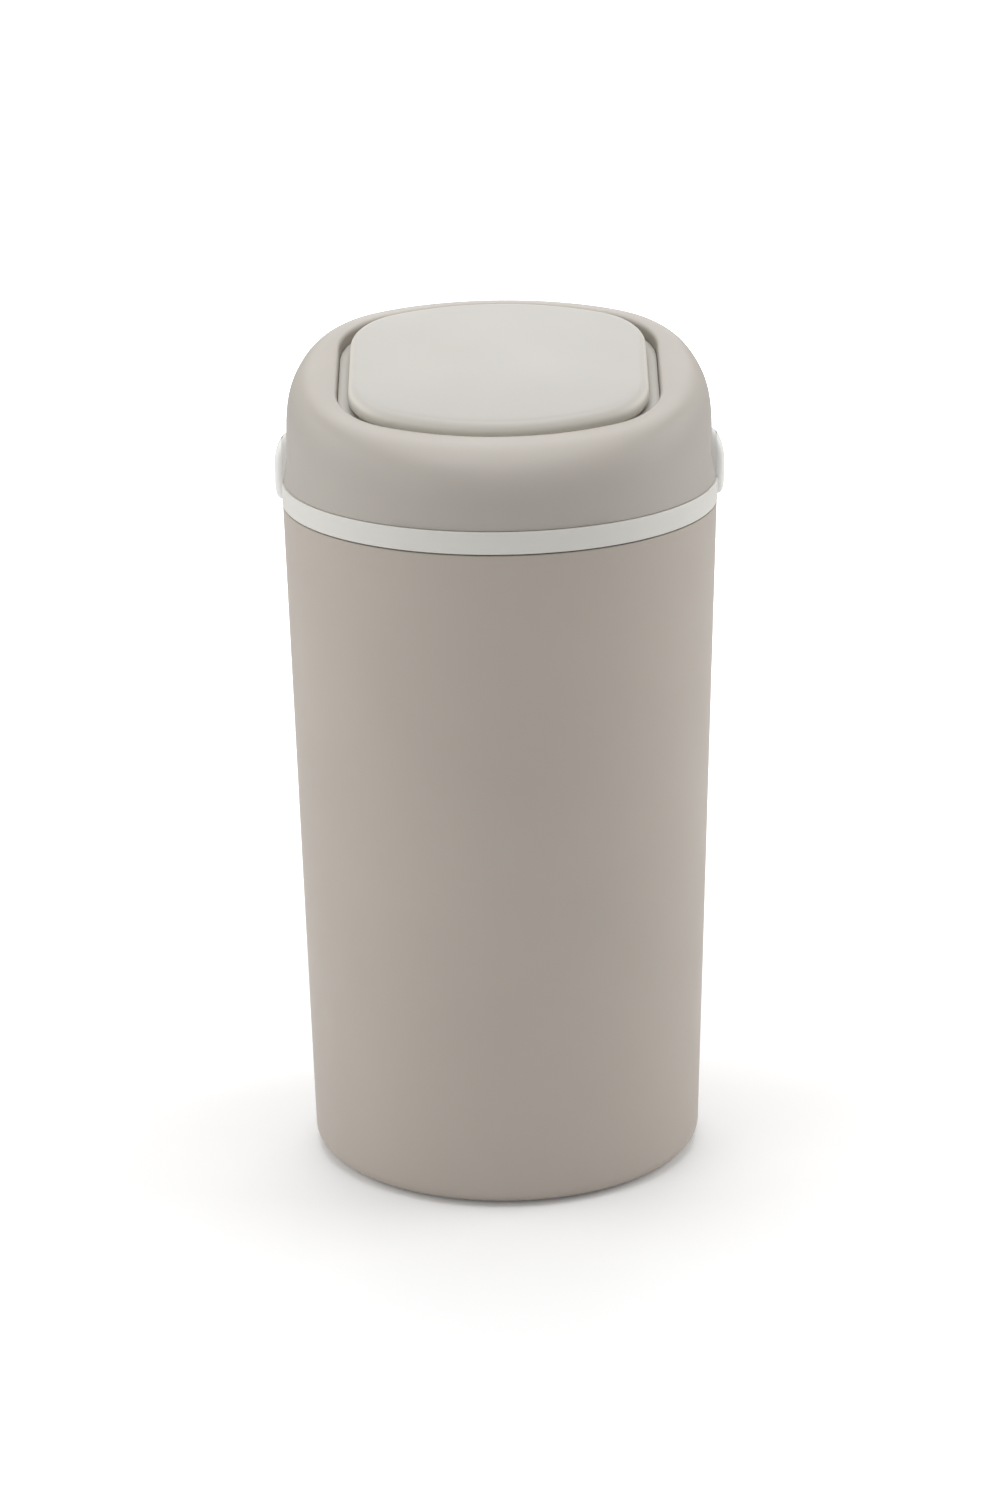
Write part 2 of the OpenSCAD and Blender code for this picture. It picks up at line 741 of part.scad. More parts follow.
module lid_springs() {
    spring_x = knuckle_x - knuckle_w / 2 - clear - lid_turns * spring_wire;
    leg = (hinge_z - deck_top) / cos(spring_leg_lean) - 1;
    color(steel) on_mouth() for (side = [-1, 1]) translate([side * spring_x, 0, 0]) hinge_axis() {
        coil_x(lid_turns, coil_in);
        rotate([-spring_leg_lean, 0, 0]) translate([0, -coil_in, -leg]) spring_leg(leg);
    }
}

// ---------------------------------------------------------------- latch

module latch_frame() {
    translate([0, latch_y, deck_bot]) children();
}

module latch_screw_places() {
    for (side = [-1, 1]) translate([side * (latch_w / 2 + latch_screw_out), latch_y, 0]) children();
}

module latch_housing() {
    color(grey) on_mouth() difference() {
        union() {
            latch_frame() translate([-latch_w / 2, -latch_d / 2, -latch_h])
                cube([latch_w, latch_d, latch_h]);
            latch_frame() translate([-latch_w / 2 - latch_ear, -latch_d / 2 + 1, -latch_ear_t])
                cube([latch_w + 2 * latch_ear, latch_d - 2, latch_ear_t]);
        }
        latch_frame() translate([0, 0, -latch_h - over])
            cylinder(r = plunger_r + run_fit, h = latch_h + 2 * over);
        latch_frame() translate([0, 0, latch_floor - latch_h])
            cylinder(r = cavity_r, h = latch_h - guide_h - latch_floor);
        latch_screw_places() translate([0, 0, deck_bot - latch_ear])
            cylinder(r = screw_r + pass_fit, h = 2 * latch_ear);
    }
}

module latch_plunger() {
    top = lid_bot_z - clear - deck_bot;
    color(light) on_mouth() latch_frame() {
        translate([0, 0, plunger_low]) cylinder(r = plunger_r, h = top - plunger_low);
        translate([0, 0, -guide_h - flange_h - run_fit])
            cylinder(r = plunger_r + flange_out, h = flange_h);
    }
}

module latch_spring() {
    low = latch_floor - latch_h + pass_fit + spring_wire;
    high = -guide_h - flange_h - run_fit - pass_fit - spring_wire;
    coil_r = plunger_r + clear + spring_wire;
    color(steel) on_mouth() latch_frame() for (i = [0 : spring_turns - 1])
        translate([0, 0, low + (high - low) * i / (spring_turns - 1)])
            rotate_extrude() translate([coil_r, 0]) circle(spring_wire, $fn = wire_steps);
}

module latch_screws() {
    color(steel) on_mouth() latch_screw_places() translate([0, 0, deck_bot - latch_ear_t])
        screw(latch_screw_l);
}

// ---------------------------------------------------------------- trap door

module trap_door() {
    color(grey) difference() {
        union() {
            translate([0, -chute_front, trap_top - trap_t]) cylinder(r = trap_r, h = trap_t, $fn = fine);
            translate([-trap_half, -chute_front, trap_top - trap_t])
                cube([2 * trap_half, trap_hinge_y, trap_t]);
            translate([0, -chute_front + trap_hinge_y, trap_hinge_z])
                rod_x(trap_knuckle_r, -trap_half, trap_half);
        }
        translate([0, -chute_front + trap_hinge_y, trap_hinge_z])
            rod_x(pin_r + run_fit, -trap_ear_x, trap_ear_x);
        translate([-trap_gap_w / 2, -chute_front + trap_r + clear, trap_hinge_z - trap_gap_w / 2])
            cube(trap_gap_w);
    }
}

module trap_hinge_pin() {
    color(steel) translate([0, -chute_front + trap_hinge_y, trap_hinge_z])
        rod_x(pin_r, -trap_ear_x - trap_ear_w / 2, trap_ear_x + trap_ear_w / 2);
}

module trap_springs() {
    color(steel) translate([0, -chute_front + trap_hinge_y, trap_hinge_z]) {
        coil_x(trap_turns, coil_in);
        translate([0, -coil_in, 0]) spring_leg(trap_leg);
    }
}

body_shell();
foot_pads();
bag_ring();
head_seal();
head_shell();
inner_frame();
frame_screws();
chute();
chute_screws();
lid_gasket();
lid_top();
lid_underside();
lid_screws();
lid_hinge_pin();
lid_springs();
latch_housing();
latch_plunger();
latch_spring();
latch_screws();
trap_door();
trap_gasket();
trap_hinge_pin();
trap_springs();
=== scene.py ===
import math

import bpy
import numpy as np
from mathutils import Matrix, Vector


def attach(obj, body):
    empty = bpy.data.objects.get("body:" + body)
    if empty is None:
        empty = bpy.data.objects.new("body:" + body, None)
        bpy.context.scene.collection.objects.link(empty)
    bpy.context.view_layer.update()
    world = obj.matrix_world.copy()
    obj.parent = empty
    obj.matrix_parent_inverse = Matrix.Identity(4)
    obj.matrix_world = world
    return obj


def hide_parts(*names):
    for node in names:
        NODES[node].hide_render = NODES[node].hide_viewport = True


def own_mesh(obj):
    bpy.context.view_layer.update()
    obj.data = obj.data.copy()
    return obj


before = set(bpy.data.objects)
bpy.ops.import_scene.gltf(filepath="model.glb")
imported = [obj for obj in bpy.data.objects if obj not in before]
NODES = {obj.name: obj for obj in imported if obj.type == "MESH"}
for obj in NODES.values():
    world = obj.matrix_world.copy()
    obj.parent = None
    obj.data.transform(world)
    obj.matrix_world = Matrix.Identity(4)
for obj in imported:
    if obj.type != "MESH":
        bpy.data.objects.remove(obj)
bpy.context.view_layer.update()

# ---------------------------------------------------------------- the bin's own sizes, in metres

mm = 0.001
SEAM = 426.5 * mm            # height of the joint between body and bag ring
FOOT_R = 123.6 * mm          # the wall's radius at floor level, were it not rounded
RIM_R = 134.7 * mm           # the wall's radius at its rim
FOOT_ROUND = 11.5 * mm       # rounded bottom edge
FLOOR_Z = 1.0 * mm           # the bucket's underside, on its grip pads
BODY_WALL = 2.5 * mm
FLOOR_T = 3.4 * mm
PAD_R = 9 * mm               # the grip pads
PAD_T = 3 * mm
PAD_CIRCLE = 96 * mm         # their distance from the middle
RING_R = 135.0 * mm
RING_H = 13.8 * mm
SKIRT_IN = 128.6 * mm        # the ring's skirt inside the rim
SKIRT_OUT = 131.2 * mm
SKIRT_H = 26 * mm
UPSTAND_IN = 126.4 * mm      # the ring's upstand inside the head
UPSTAND_OUT = 128.8 * mm
UPSTAND_H = 7 * mm
HEAD_R = 134.0 * mm
HEAD_WALL = 2.6 * mm
HEAD_TAPER = 2.6 * mm        # how much the head's wall narrows up to the shoulder
LUG_HALF_W = 12 * mm
LUG_HALF_H = 19.5 * mm
LUG_Z = 447.2 * mm           # the lugs' middle
LUG_BACK = HEAD_R + 0.3 * mm
LUG_FRONT = RING_R + 4.3 * mm
LUG_SQUARE = 0.7             # how square the lugs' outline is: 1 is an ellipse, 0 a rectangle
REST_HALF_H = 20.8 * mm      # the pads on the head behind the lugs
REST_Z = 447.5 * mm
REST_TOP = 468.2 * mm
MOUTH_Z = 81.5 * mm          # the mouth's centre above the joint
MOUTH_TILT = math.radians(13.0)
MOUTH_W = 102.0 * mm         # half the width of the mouth's crest
MOUTH_D = 94.0 * mm          # half its depth
MOUTH_ARC = 171.0 * mm
MOUTH_CORNER = 53.0 * mm
LIP_R = 3.3 * mm
COLLAR_H = 15.6 * mm
COLLAR_T = 2.6 * mm
SHOULDER_SIDE = 30.0 * mm    # start of the shoulder above the joint, at the sides
SHOULDER_END = 17.0 * mm     # the same at the front and rear
SQUARE_SIDE = 3.9            # power of the shoulder's curve at the sides: 2 is an ellipse
SQUARE_END = 2.55            # the same at the front and rear
LID_INSET = LIP_R + 7.0 * mm
LID_TOP = 6.5 * mm           # heights from here on are above the mouth's plane
LID_BOTTOM = -11.0 * mm
LID_EDGE = -5.2 * mm         # underside of the lid's overhanging edge
LID_OVER = 2.2 * mm
LID_ROUND = 6.2 * mm
LID_WALL = 2.4 * mm
LID_DROOP = 4.2 * mm         # how far the lid's top bends down to its front edge
LEDGE = -8.0 * mm            # top of the ledge round the lid
LEDGE_IN = LID_INSET + LID_OVER - 0.9 * mm
DECK = -16.0 * mm            # top of the frame's deck
DECK_BOTTOM = -19.0 * mm
HINGE_Y = 72.2 * mm          # the lid's hinge in the mouth's frame
HINGE_Z = -6.0 * mm
EAR_X = 30.0 * mm
EAR_W = 8.0 * mm
LATCH_Y = -78.1 * mm
WELL_Y = 64.4 * mm           # behind this the ledge steps back for the lid's rear edge
CHUTE_MIDDLE = -4.0 * mm / math.cos(MOUTH_TILT)
CHUTE_OUT = 57.854 * mm
GASKET_R = CHUTE_OUT + 4.6 * mm
CHUTE_SCREW_R = CHUTE_OUT + 5.2 * mm
TRAP_HINGE = (61.854 * mm, 393.3 * mm)

TURN = 256                   # columns round a turned surface


# ---------------------------------------------------------------- surfaces
#
# A surface is a pair: its points, and its faces as lists of point numbers.

def grid(rows, loop=False):
    """A surface from rows of points that each close on themselves: rows[i, j] is point j of row i.

    Rows are joined to the next by quads. With loop, the last row joins the first, and otherwise
    each end is closed by a fan round the mean of its row. Rows that climb while their points run
    counter-clockwise give faces that look outwards.
    """
    rows = np.asarray(rows)
    count, cols = rows.shape[:2]
    points = rows.reshape(-1, 3)
    steps = count if loop else count - 1
    i, j = np.meshgrid(np.arange(steps), np.arange(cols), indexing="ij")
    up, along = (i + 1) % count, (j + 1) % cols
    quads = np.stack([i * cols + j, i * cols + along, up * cols + along, up * cols + j], -1)
    faces = quads.reshape(-1, 4).tolist()
    if not loop:
        base, turn = len(points), np.arange(cols)
        after, last = (turn + 1) % cols, (count - 1) * cols
        points = np.vstack([points, rows[0].mean(0), rows[-1].mean(0)])
        faces += np.stack([np.full(cols, base), after, turn], -1).tolist()
        faces += np.stack([np.full(cols, base + 1), last + turn, last + after], -1).tolist()
    return points, faces


def level(points):
    """Leaves points as they are: the bin's own frame."""
    return points


def tilted(points):
    """Points of the sloping mouth's frame, in the bin's frame: turned by MOUTH_TILT about the
    X axis and raised to the mouth's height."""
    c, s = math.cos(MOUTH_TILT), math.sin(MOUTH_TILT)
    x, y, z = points[..., 0], points[..., 1], points[..., 2]
    return np.stack([x, y * c - z * s, SEAM + MOUTH_Z + y * s + z * c], -1)


def turned(profile, loop=False, centre=(0, 0), frame_of=level, cols=TURN):
    """A surface of revolution: each profile point (r, z) becomes the circle
    (x + r cos a, y + r sin a, z) round the centre (x, y), for a from 0 to one turn."""
    angle = np.linspace(0, 2 * np.pi, cols, endpoint=False)
    r, z = profile[:, :1], profile[:, 1:]
    rows = np.stack([centre[0] + r * np.cos(angle), centre[1] + r * np.sin(angle),
                     z + 0 * angle], -1)
    return grid(frame_of(rows), loop)


def arc(r, z, radius, start, end, count=9):
    """Points of an arc round (r, z), from angle start to end in degrees."""
    a = np.radians(np.linspace(start, end, count))
    return np.stack([r + radius * np.cos(a), z + radius * np.sin(a)], -1)


def line(start, end, count=2):
    """Evenly spaced points from start to end."""
    t = np.linspace(0, 1, count)[:, None]
    return np.array(start) * (1 - t) + np.array(end) * t


def wire(path, radius, beside, cols=12):
    """A round wire along a path: at each point a circle of the given radius, square to the
    path, whose first corner is turned to the direction beside."""
    way = np.gradient(path, axis=0)
    way /= np.linalg.norm(way, axis=1, keepdims=True)
    aside = np.cross(way, beside)
    aside /= np.linalg.norm(aside, axis=1, keepdims=True)
    other = np.cross(way, aside)
    a = np.linspace(0, 2 * np.pi, cols, endpoint=False)[None, :, None]
    return path[:, None] + radius * (np.cos(a) * aside[:, None] + np.sin(a) * other[:, None])


def make_piece(name, surfaces, body, finish, stands_for=()):
    """One mesh object from surfaces: smooth, with edges above 38 degrees kept crisp, riding on
    its body, wearing its finish and standing for CAD nodes."""
    points, faces = [], []
    for own_points, own_faces in surfaces:
        base = sum(len(p) for p in points)
        points.append(own_points)
        faces += [[base + k for k in face] for face in own_faces]
    mesh = bpy.data.meshes.new(name)
    mesh.from_pydata(np.vstack(points).tolist(), [], faces)
    mesh.polygons.foreach_set("use_smooth", np.ones(len(mesh.polygons), bool))
    mesh.set_sharp_from_angle(angle=math.radians(38))
    mesh.materials.append(finish)
    mesh.update()
    piece = bpy.data.objects.new(name, mesh)
    bpy.context.scene.collection.objects.link(piece)
    if body:
        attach(piece, body)
        if stands_for:
            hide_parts(*stands_for)
    return piece


# ---------------------------------------------------------------- the mouth and what follows it

def outline(inset, side=8, corner=18, end=30):
    """The mouth's outline drawn in by inset, counter-clockwise from the right.

    One quarter is a straight side, then a corner arc that is tangent to the side and to the end
    arc, then the end arc, which is centred on the middle line. The others mirror it.
    """
    half_w, half_d, arc_r = MOUTH_W - inset, MOUTH_D - inset, MOUTH_ARC - inset
    corner_r = MOUTH_CORNER - inset
    arc_y, corner_x = half_d - arc_r, half_w - corner_r
    corner_y = arc_y + math.sqrt((arc_r - corner_r) ** 2 - corner_x ** 2)
    turn = math.atan2(corner_y - arc_y, corner_x)
    a = np.linspace(0, turn, corner + 1)
    b = np.linspace(turn, np.pi / 2, end + 1)[1:]
    straight = line((half_w, 0), (half_w, corner_y), side + 1)[:-1]
    bend = np.stack([corner_x + corner_r * np.cos(a), corner_y + corner_r * np.sin(a)], -1)
    bow = np.stack([arc_r * np.cos(b), arc_y + arc_r * np.sin(b)], -1)
    quarter = np.vstack([straight, bend, bow])
    half = np.vstack([quarter, quarter[::-1][1:] * (-1, 1)])
    return np.vstack([half, half[::-1][1:-1] * (1, -1)])


def mouth_row(inset, z):
    """The outline drawn in by inset, at height z over the mouth's plane, in the bin's frame.
    z is one height or one for each point."""
    ring = outline(inset)
    return tilted(np.column_stack([ring, z + np.zeros(len(ring))]))


def shoulder_rows(angles, wall, inset, drop):
    """Rows of the head's skin from its wall up to the mouth's crest.

    At azimuth t the row at angle s lies at radius rc + (rw - rc) cos(s)^p and height
    z0 + (zc - z0) sin(s)^p: a superellipse from the wall (rw, z0) to the crest (rc, zc), whose
    power p, start z0 and wall radius rw blend from the sides to the ends with cos(t) squared.
    """
    crest = mouth_row(inset, -drop)
    along = np.hypot(crest[:, 0], crest[:, 1])
    side = (crest[:, 0] / along) ** 2
    power = 2 / (SQUARE_END + (SQUARE_SIDE - SQUARE_END) * side)
    start = SEAM + SHOULDER_END + (SHOULDER_SIDE - SHOULDER_END) * side
    wall_r = HEAD_R - HEAD_TAPER * side - wall
    s = np.radians(np.asarray(angles))[:, None]
    r = along + (wall_r - along) * np.clip(np.cos(s), 0, 1) ** power
    z = start + (crest[:, 2] - start) * np.sin(s) ** power
    return np.stack([crest[:, 0] / along * r, crest[:, 1] / along * r, z], -1)


def wall_row(r, z):
    """A level circle of radius r whose points stand below those of the mouth's outline."""
    crest = mouth_row(0, 0)
    along = np.hypot(crest[:, 0], crest[:, 1])[:, None]
    ring = crest[:, :2] / along * r
    return np.hstack([ring, np.full((len(ring), 1), z)])


# ---------------------------------------------------------------- finishes

def moulded(name, colour, rough=0.5, grain=0.25, drift=0.02, metal=0.0, scale=1800.0,
            stretch=(1, 1, 1), edge=None):
    """Moulded plastic or plain metal: a fine grain as bump, slow drifts of tone and of gloss.
    With edge, the colour goes over into that one by the points' own value "edge": painted light, a
    lighter tone that stands in for light falling on a rounding."""
    material = bpy.data.materials.new(name)
    material.use_nodes = True
    nodes, links = material.node_tree.nodes, material.node_tree.links
    shader = nodes["Principled BSDF"]
    shader.inputs["Metallic"].default_value = metal
    where = nodes.new("ShaderNodeTexCoord")
    along = nodes.new("ShaderNodeMapping")
    along.inputs["Scale"].default_value = stretch
    links.new(where.outputs["Object"], along.inputs["Vector"])

    def noise(size, detail):
        texture = nodes.new("ShaderNodeTexNoise")
        texture.inputs["Scale"].default_value = size
        texture.inputs["Detail"].default_value = detail
        links.new(along.outputs["Vector"], texture.inputs["Vector"])
        return texture.outputs["Fac"]

    def spread(value, low, high):
        ranged = nodes.new("ShaderNodeMapRange")
        ranged.inputs["From Min"].default_value = 0.3
        ranged.inputs["From Max"].default_value = 0.7
        ranged.inputs["To Min"].default_value = low
        ranged.inputs["To Max"].default_value = high
        links.new(value, ranged.inputs["Value"])
        return ranged.outputs["Result"]

    tint = nodes.new("ShaderNodeHueSaturation")
    tint.inputs["Color"].default_value = (*colour, 1)
    # Painted light: by the value "edge", the colour goes over into the lighter edge colour,
    # standing in for light falling on the rounding.
    if edge:
        share = nodes.new("ShaderNodeAttribute")
        share.attribute_name = "edge"
        blend = nodes.new("ShaderNodeMixRGB")
        blend.inputs["Color1"].default_value = (*colour, 1)
        blend.inputs["Color2"].default_value = (*edge, 1)
        links.new(share.outputs["Fac"], blend.inputs["Fac"])
        links.new(blend.outputs["Color"], tint.inputs["Color"])
    links.new(spread(noise(9, 3), 1 - drift, 1 + drift), tint.inputs["Value"])
    links.new(tint.outputs["Color"], shader.inputs["Base Color"])
    links.new(spread(noise(14, 4), rough - 0.05, rough + 0.05), shader.inputs["Roughness"])
    bump = nodes.new("ShaderNodeBump")
    bump.inputs["Strength"].default_value = grain
    bump.inputs["Distance"].default_value = 0.0001
    links.new(noise(scale, 2), bump.inputs["Height"])
    links.new(bump.outputs["Normal"], shader.inputs["Normal"])
    return material


def srgb(r, g, b):
    """A colour as seen on a screen, 0 to 255, as the linear values that shaders take."""
    c = np.array([r, g, b]) / 255
    return tuple(np.where(c <= 0.04045, c / 12.92, ((c + 0.055) / 1.055) ** 2.4).tolist())


TAUPE = moulded("taupe_plastic", srgb(177, 168, 158), rough=0.5)
HEAD_TAUPE = moulded("taupe_head_plastic", srgb(174, 168, 160), rough=0.5)
RING_PALE = moulded("pale_ring_plastic", srgb(213, 211, 205), rough=0.48)
# A lighter copy of the ring's pale plastic for the lugs and their rests: painted light, standing
# in for the side light falling on them.
LUG_PALE_PAINTED_LIGHT = moulded("pale_lug_plastic_painted_light", srgb(230, 229, 226), rough=0.48)
# The lid's plastic with painted light: its rounded side goes over into a lighter tone (216, 212,
# 203) that stands in for the front light falling there.
LID_PALE_PAINTED_EDGE_LIGHT = moulded("pale_lid_plastic_painted_edge_light", srgb(184, 181, 175), rough=0.5, edge=srgb(216, 212, 203))
FRAME_PALE = moulded("pale_frame_plastic", srgb(197, 194, 187), rough=0.55)
GREY = moulded("grey_plastic", srgb(150, 147, 143), rough=0.55, grain=0.35)
RUBBER = moulded("soft_rubber", srgb(88, 86, 84), rough=0.75, grain=0.5, drift=0.05)
ZINC = moulded("zinc_plated_steel", srgb(186, 188, 190), rough=0.34, grain=0.3, metal=1.0,
               scale=900.0, stretch=(1, 6, 6))
SPRING_STEEL = moulded("spring_steel", srgb(160, 162, 166), rough=0.28, grain=0.15, metal=1.0)

NODE_FINISH = {
    "foot_pads": RUBBER, "head_seal": RUBBER, "inner_frame": FRAME_PALE, "frame_screws": ZINC,
    "chute": GREY, "chute_screws": ZINC, "lid_gasket": RUBBER, "lid_underside": GREY,
    "lid_screws": ZINC, "lid_hinge_pin": ZINC, "lid_springs": SPRING_STEEL,
    "latch_housing": GREY, "latch_plunger": FRAME_PALE, "latch_spring": SPRING_STEEL,
    "latch_screws": ZINC, "trap_door": GREY, "trap_gasket": RUBBER, "trap_hinge_pin": ZINC,
    "trap_springs": SPRING_STEEL, "body_shell": TAUPE, "bag_ring": RING_PALE,
    "head_shell": HEAD_TAUPE, "lid_top": LID_PALE_PAINTED_EDGE_LIGHT}

for node_name, finish in NODE_FINISH.items():
    NODES[node_name].data.materials.clear()
    NODES[node_name].data.materials.append(finish)


# ---------------------------------------------------------------- bucket, ring and head

def bucket():
    """Underside, rounded foot, tapered wall, rounded rim, inner wall and floor, turned."""
    slope = math.atan((RIM_R - FOOT_R) / SEAM)
    tip = math.degrees(slope)

    def wall(z):
        return FOOT_R + (RIM_R - FOOT_R) * z / SEAM

    def round_centre(z, radius, thick):
        return wall(z) - thick - radius * (1 - math.sin(slope)) / math.cos(slope)

    floor, inner_round, edge = FLOOR_Z + FLOOR_T, FOOT_ROUND - BODY_WALL, 0.7 * mm
    foot_c = round_centre(FLOOR_Z, FOOT_ROUND, 0)
    inner_c = round_centre(floor, inner_round, BODY_WALL)
    low, high, rim = 20 * mm, SEAM - 4 * mm, SEAM - 0.75 * mm
    return turned(np.vstack([
        line((4 * mm, FLOOR_Z), (foot_c - 4 * mm, FLOOR_Z), 6),
        arc(foot_c, FLOOR_Z + FOOT_ROUND, FOOT_ROUND, -90, -tip, 16),
        line((wall(low), low), (wall(high), high), 24),
        arc(RIM_R - edge, rim - edge, edge, -tip, 90, 7),
        arc(RIM_R - BODY_WALL + edge, rim - edge, edge, 90, 180 - tip, 7),
        line((wall(high) - BODY_WALL, high), (wall(low) - BODY_WALL, low), 12),
        arc(inner_c, floor + inner_round, inner_round, -tip, -90, 12),
        line((inner_c - 4 * mm, floor), (4 * mm, floor), 4)]))


def pads():
    """Four grip pads: a disc whose underside z(r) waves in three rings, with rounded edges."""
    r = np.linspace(0.3 * mm, PAD_R - 0.8 * mm, 40)
    wave = 0.18 * mm * (1 - np.cos(2 * np.pi * r / (PAD_R / 3)))
    profile = np.vstack([np.column_stack([r, wave]),
                         arc(PAD_R - 0.6 * mm, 0.6 * mm, 0.6 * mm, -80, 0, 6),
                         line((PAD_R, FLOOR_Z + 0.2 * mm), (PAD_R - 0.2 * mm, PAD_T)),
                         line((PAD_R - 2 * mm, PAD_T), (0.5 * mm, PAD_T))])
    at = np.radians([45, 135, 225, 315])
    return [turned(profile, centre=(PAD_CIRCLE * math.cos(a), PAD_CIRCLE * math.sin(a)), cols=64)
            for a in at]


def ring_band():
    """The ring's section, turned: upstand, skirt, foot on the rim, shadow groove and band."""
    top, low = SEAM + RING_H, SEAM - SKIRT_H
    up_top, seat_out = top + UPSTAND_H, 132.9 * mm
    edge, groove = 0.3 * mm, 0.1 * mm
    return turned(np.vstack([
        line((UPSTAND_IN, up_top - 1.2 * mm), (UPSTAND_IN, SEAM), 4),
        line((SKIRT_IN - 0.6 * mm, low + 2 * mm), (SKIRT_IN - 0.5 * mm, low + 0.6 * mm)),
        line((SKIRT_IN, low), (SKIRT_OUT - 1.4 * mm, low)),
        line((SKIRT_OUT - 0.8 * mm, low + 2 * mm), (SKIRT_OUT, SEAM - 0.5 * mm), 4),
        line((SKIRT_OUT + 0.4 * mm, SEAM), (seat_out, SEAM)),
        line((seat_out, SEAM + groove), (RING_R - 0.5 * mm, SEAM + groove), 3),
        arc(RING_R - 0.4 * mm, SEAM + groove + 0.4 * mm, 0.4 * mm, -75, 0, 5),
        arc(RING_R - edge, top - edge, edge, 0, 90, 8),
        line((UPSTAND_OUT + 0.3 * mm, top), (UPSTAND_OUT, top + 0.3 * mm)),
        arc(UPSTAND_OUT - 1 * mm, up_top - 1 * mm, 1 * mm, 0, 90, 5),
        arc(UPSTAND_IN + 1 * mm, up_top - 1 * mm, 1 * mm, 90, 170, 5)]), loop=True)


def lug_outline(half_h, middle, share):
    """Points (w |cos a|^k, h |sin a|^k) over a squarish outline, with the signs of cos a and
    sin a, at each share of the way from its middle to its edge."""
    a = np.linspace(0, 2 * np.pi, 112, endpoint=False)
    across = LUG_HALF_W * share * np.sign(np.cos(a)) * np.abs(np.cos(a)) ** LUG_SQUARE
    return across, middle + half_h * share * np.sign(np.sin(a)) * np.abs(np.sin(a)) ** LUG_SQUARE


def at_side(side, r, across, z):
    """Points at radius r on the bin's left or right side: (side sqrt(r^2 - a^2), side a, z)."""
    return np.stack([side * np.sqrt(r ** 2 - across ** 2), side * across, z], -1)


def lug(side):
    """One upright lug: a rounded pad whose front stands off its back by t (1 - v^p)^q at the
    share v of the way from its middle to its edge. The powers blend with the direction, so that
    the upper end slopes away gently while the sides and the lower end are full."""
    v = np.sin(np.radians(np.concatenate([np.linspace(2, 56, 16), np.linspace(60, 90, 16)])))
    v = v[:, None]
    across, z = lug_outline(LUG_HALF_H, LUG_Z, v)
    up = np.clip(np.sin(np.linspace(0, 2 * np.pi, len(z[0]), endpoint=False)), 0, 1) ** 2
    relief = np.clip(1 - v ** (5 - 3 * up), 0, 1) ** (0.42 + 0.5 * up)
    front = LUG_BACK + (LUG_FRONT - LUG_BACK) * relief
    return grid(np.concatenate([at_side(side, LUG_BACK, across, z),
                                at_side(side, front, across, z)[::-1]]))


def lug_rest(side):
    """The pad on the head's wall that a lug leans on: it fills the wedge between the narrowing
    wall and an upright face, over the upper part of the lug's outline, and slopes away to the
    wall at its top."""
    v = np.array([0.03, 0.3, 0.6, 0.8, 0.9, 0.96, 1])[:, None]
    across, z = lug_outline(REST_HALF_H, REST_Z, v)
    z = np.maximum(z, SEAM + RING_H + 0.15 * mm)
    climb = np.clip((z - SEAM - RING_H) / (SHOULDER_SIDE - RING_H), 0, 1)
    wall_r = HEAD_R - HEAD_TAPER * climb
    face_r = np.clip(wall_r + 0.1 * mm + 1.2 * (REST_TOP - z), wall_r, LUG_BACK - 0.06 * mm)
    return grid(np.concatenate([at_side(side, wall_r - 0.5 * mm, across, z),
                                at_side(side, face_r, across, z)[::-1]]))


def head_skin():
    """The head's shell as one closed skin: wall, shoulder, rounded lip, collar, and back down
    the inside at one wall's distance."""
    top = SEAM + RING_H
    climb = np.linspace(0, 90, 46)
    rows = [wall_row(HEAD_R - 0.8 * mm, top + 0.02 * mm),
            wall_row(HEAD_R - 0.7 * mm, top + 0.3 * mm),
            wall_row(HEAD_R - 0.15 * mm, top + 0.36 * mm), wall_row(HEAD_R, top + 0.6 * mm)]
    rows += list(shoulder_rows(climb, 0, 0, 0))
    rows += [mouth_row(LIP_R * math.sin(a) ** 0.65, -LIP_R * (1 - max(0, math.cos(a)) ** 0.65))
             for a in np.radians(np.linspace(0, 90, 13))[1:]]
    rows += [mouth_row(LIP_R, -COLLAR_H), mouth_row(LIP_R - COLLAR_T, -COLLAR_H)]
    rows += list(shoulder_rows(climb[::-3], HEAD_WALL, LIP_R - COLLAR_T, HEAD_WALL))
    rows += [wall_row(HEAD_R - HEAD_WALL, top + 0.02 * mm)]
    return grid(rows, loop=True)


def ledge_skin():
    """The ledge's rounded skin: up the outside, over the top and down the inside. Behind the
    hinge its inner edge steps back, to let the lid's rear edge swing down."""
    out, edge = LIP_R + 0.34 * mm, 0.5 * mm
    rear = outline(LEDGE_IN)[:, 1] > WELL_Y
    up = np.radians([0, 30, 60, 90])

    def inner(extra, z):
        return np.where(rear[:, None], mouth_row(LIP_R + 2.9 * mm - extra, z),
                        mouth_row(LEDGE_IN + 0.08 * mm - extra, z))

    top, low = LEDGE + 0.06 * mm, DECK - 0.6 * mm
    rows = [mouth_row(out, low)]
    rows += [mouth_row(out + edge * (1 - math.cos(a)), top - edge * (1 - math.sin(a)))
             for a in up]
    rows += [inner(edge * (1 - math.cos(a)), top - edge * (1 - math.sin(a))) for a in up[::-1]]
    rows += [inner(0, low)]
    return grid(rows, loop=True)


# ---------------------------------------------------------------- lid

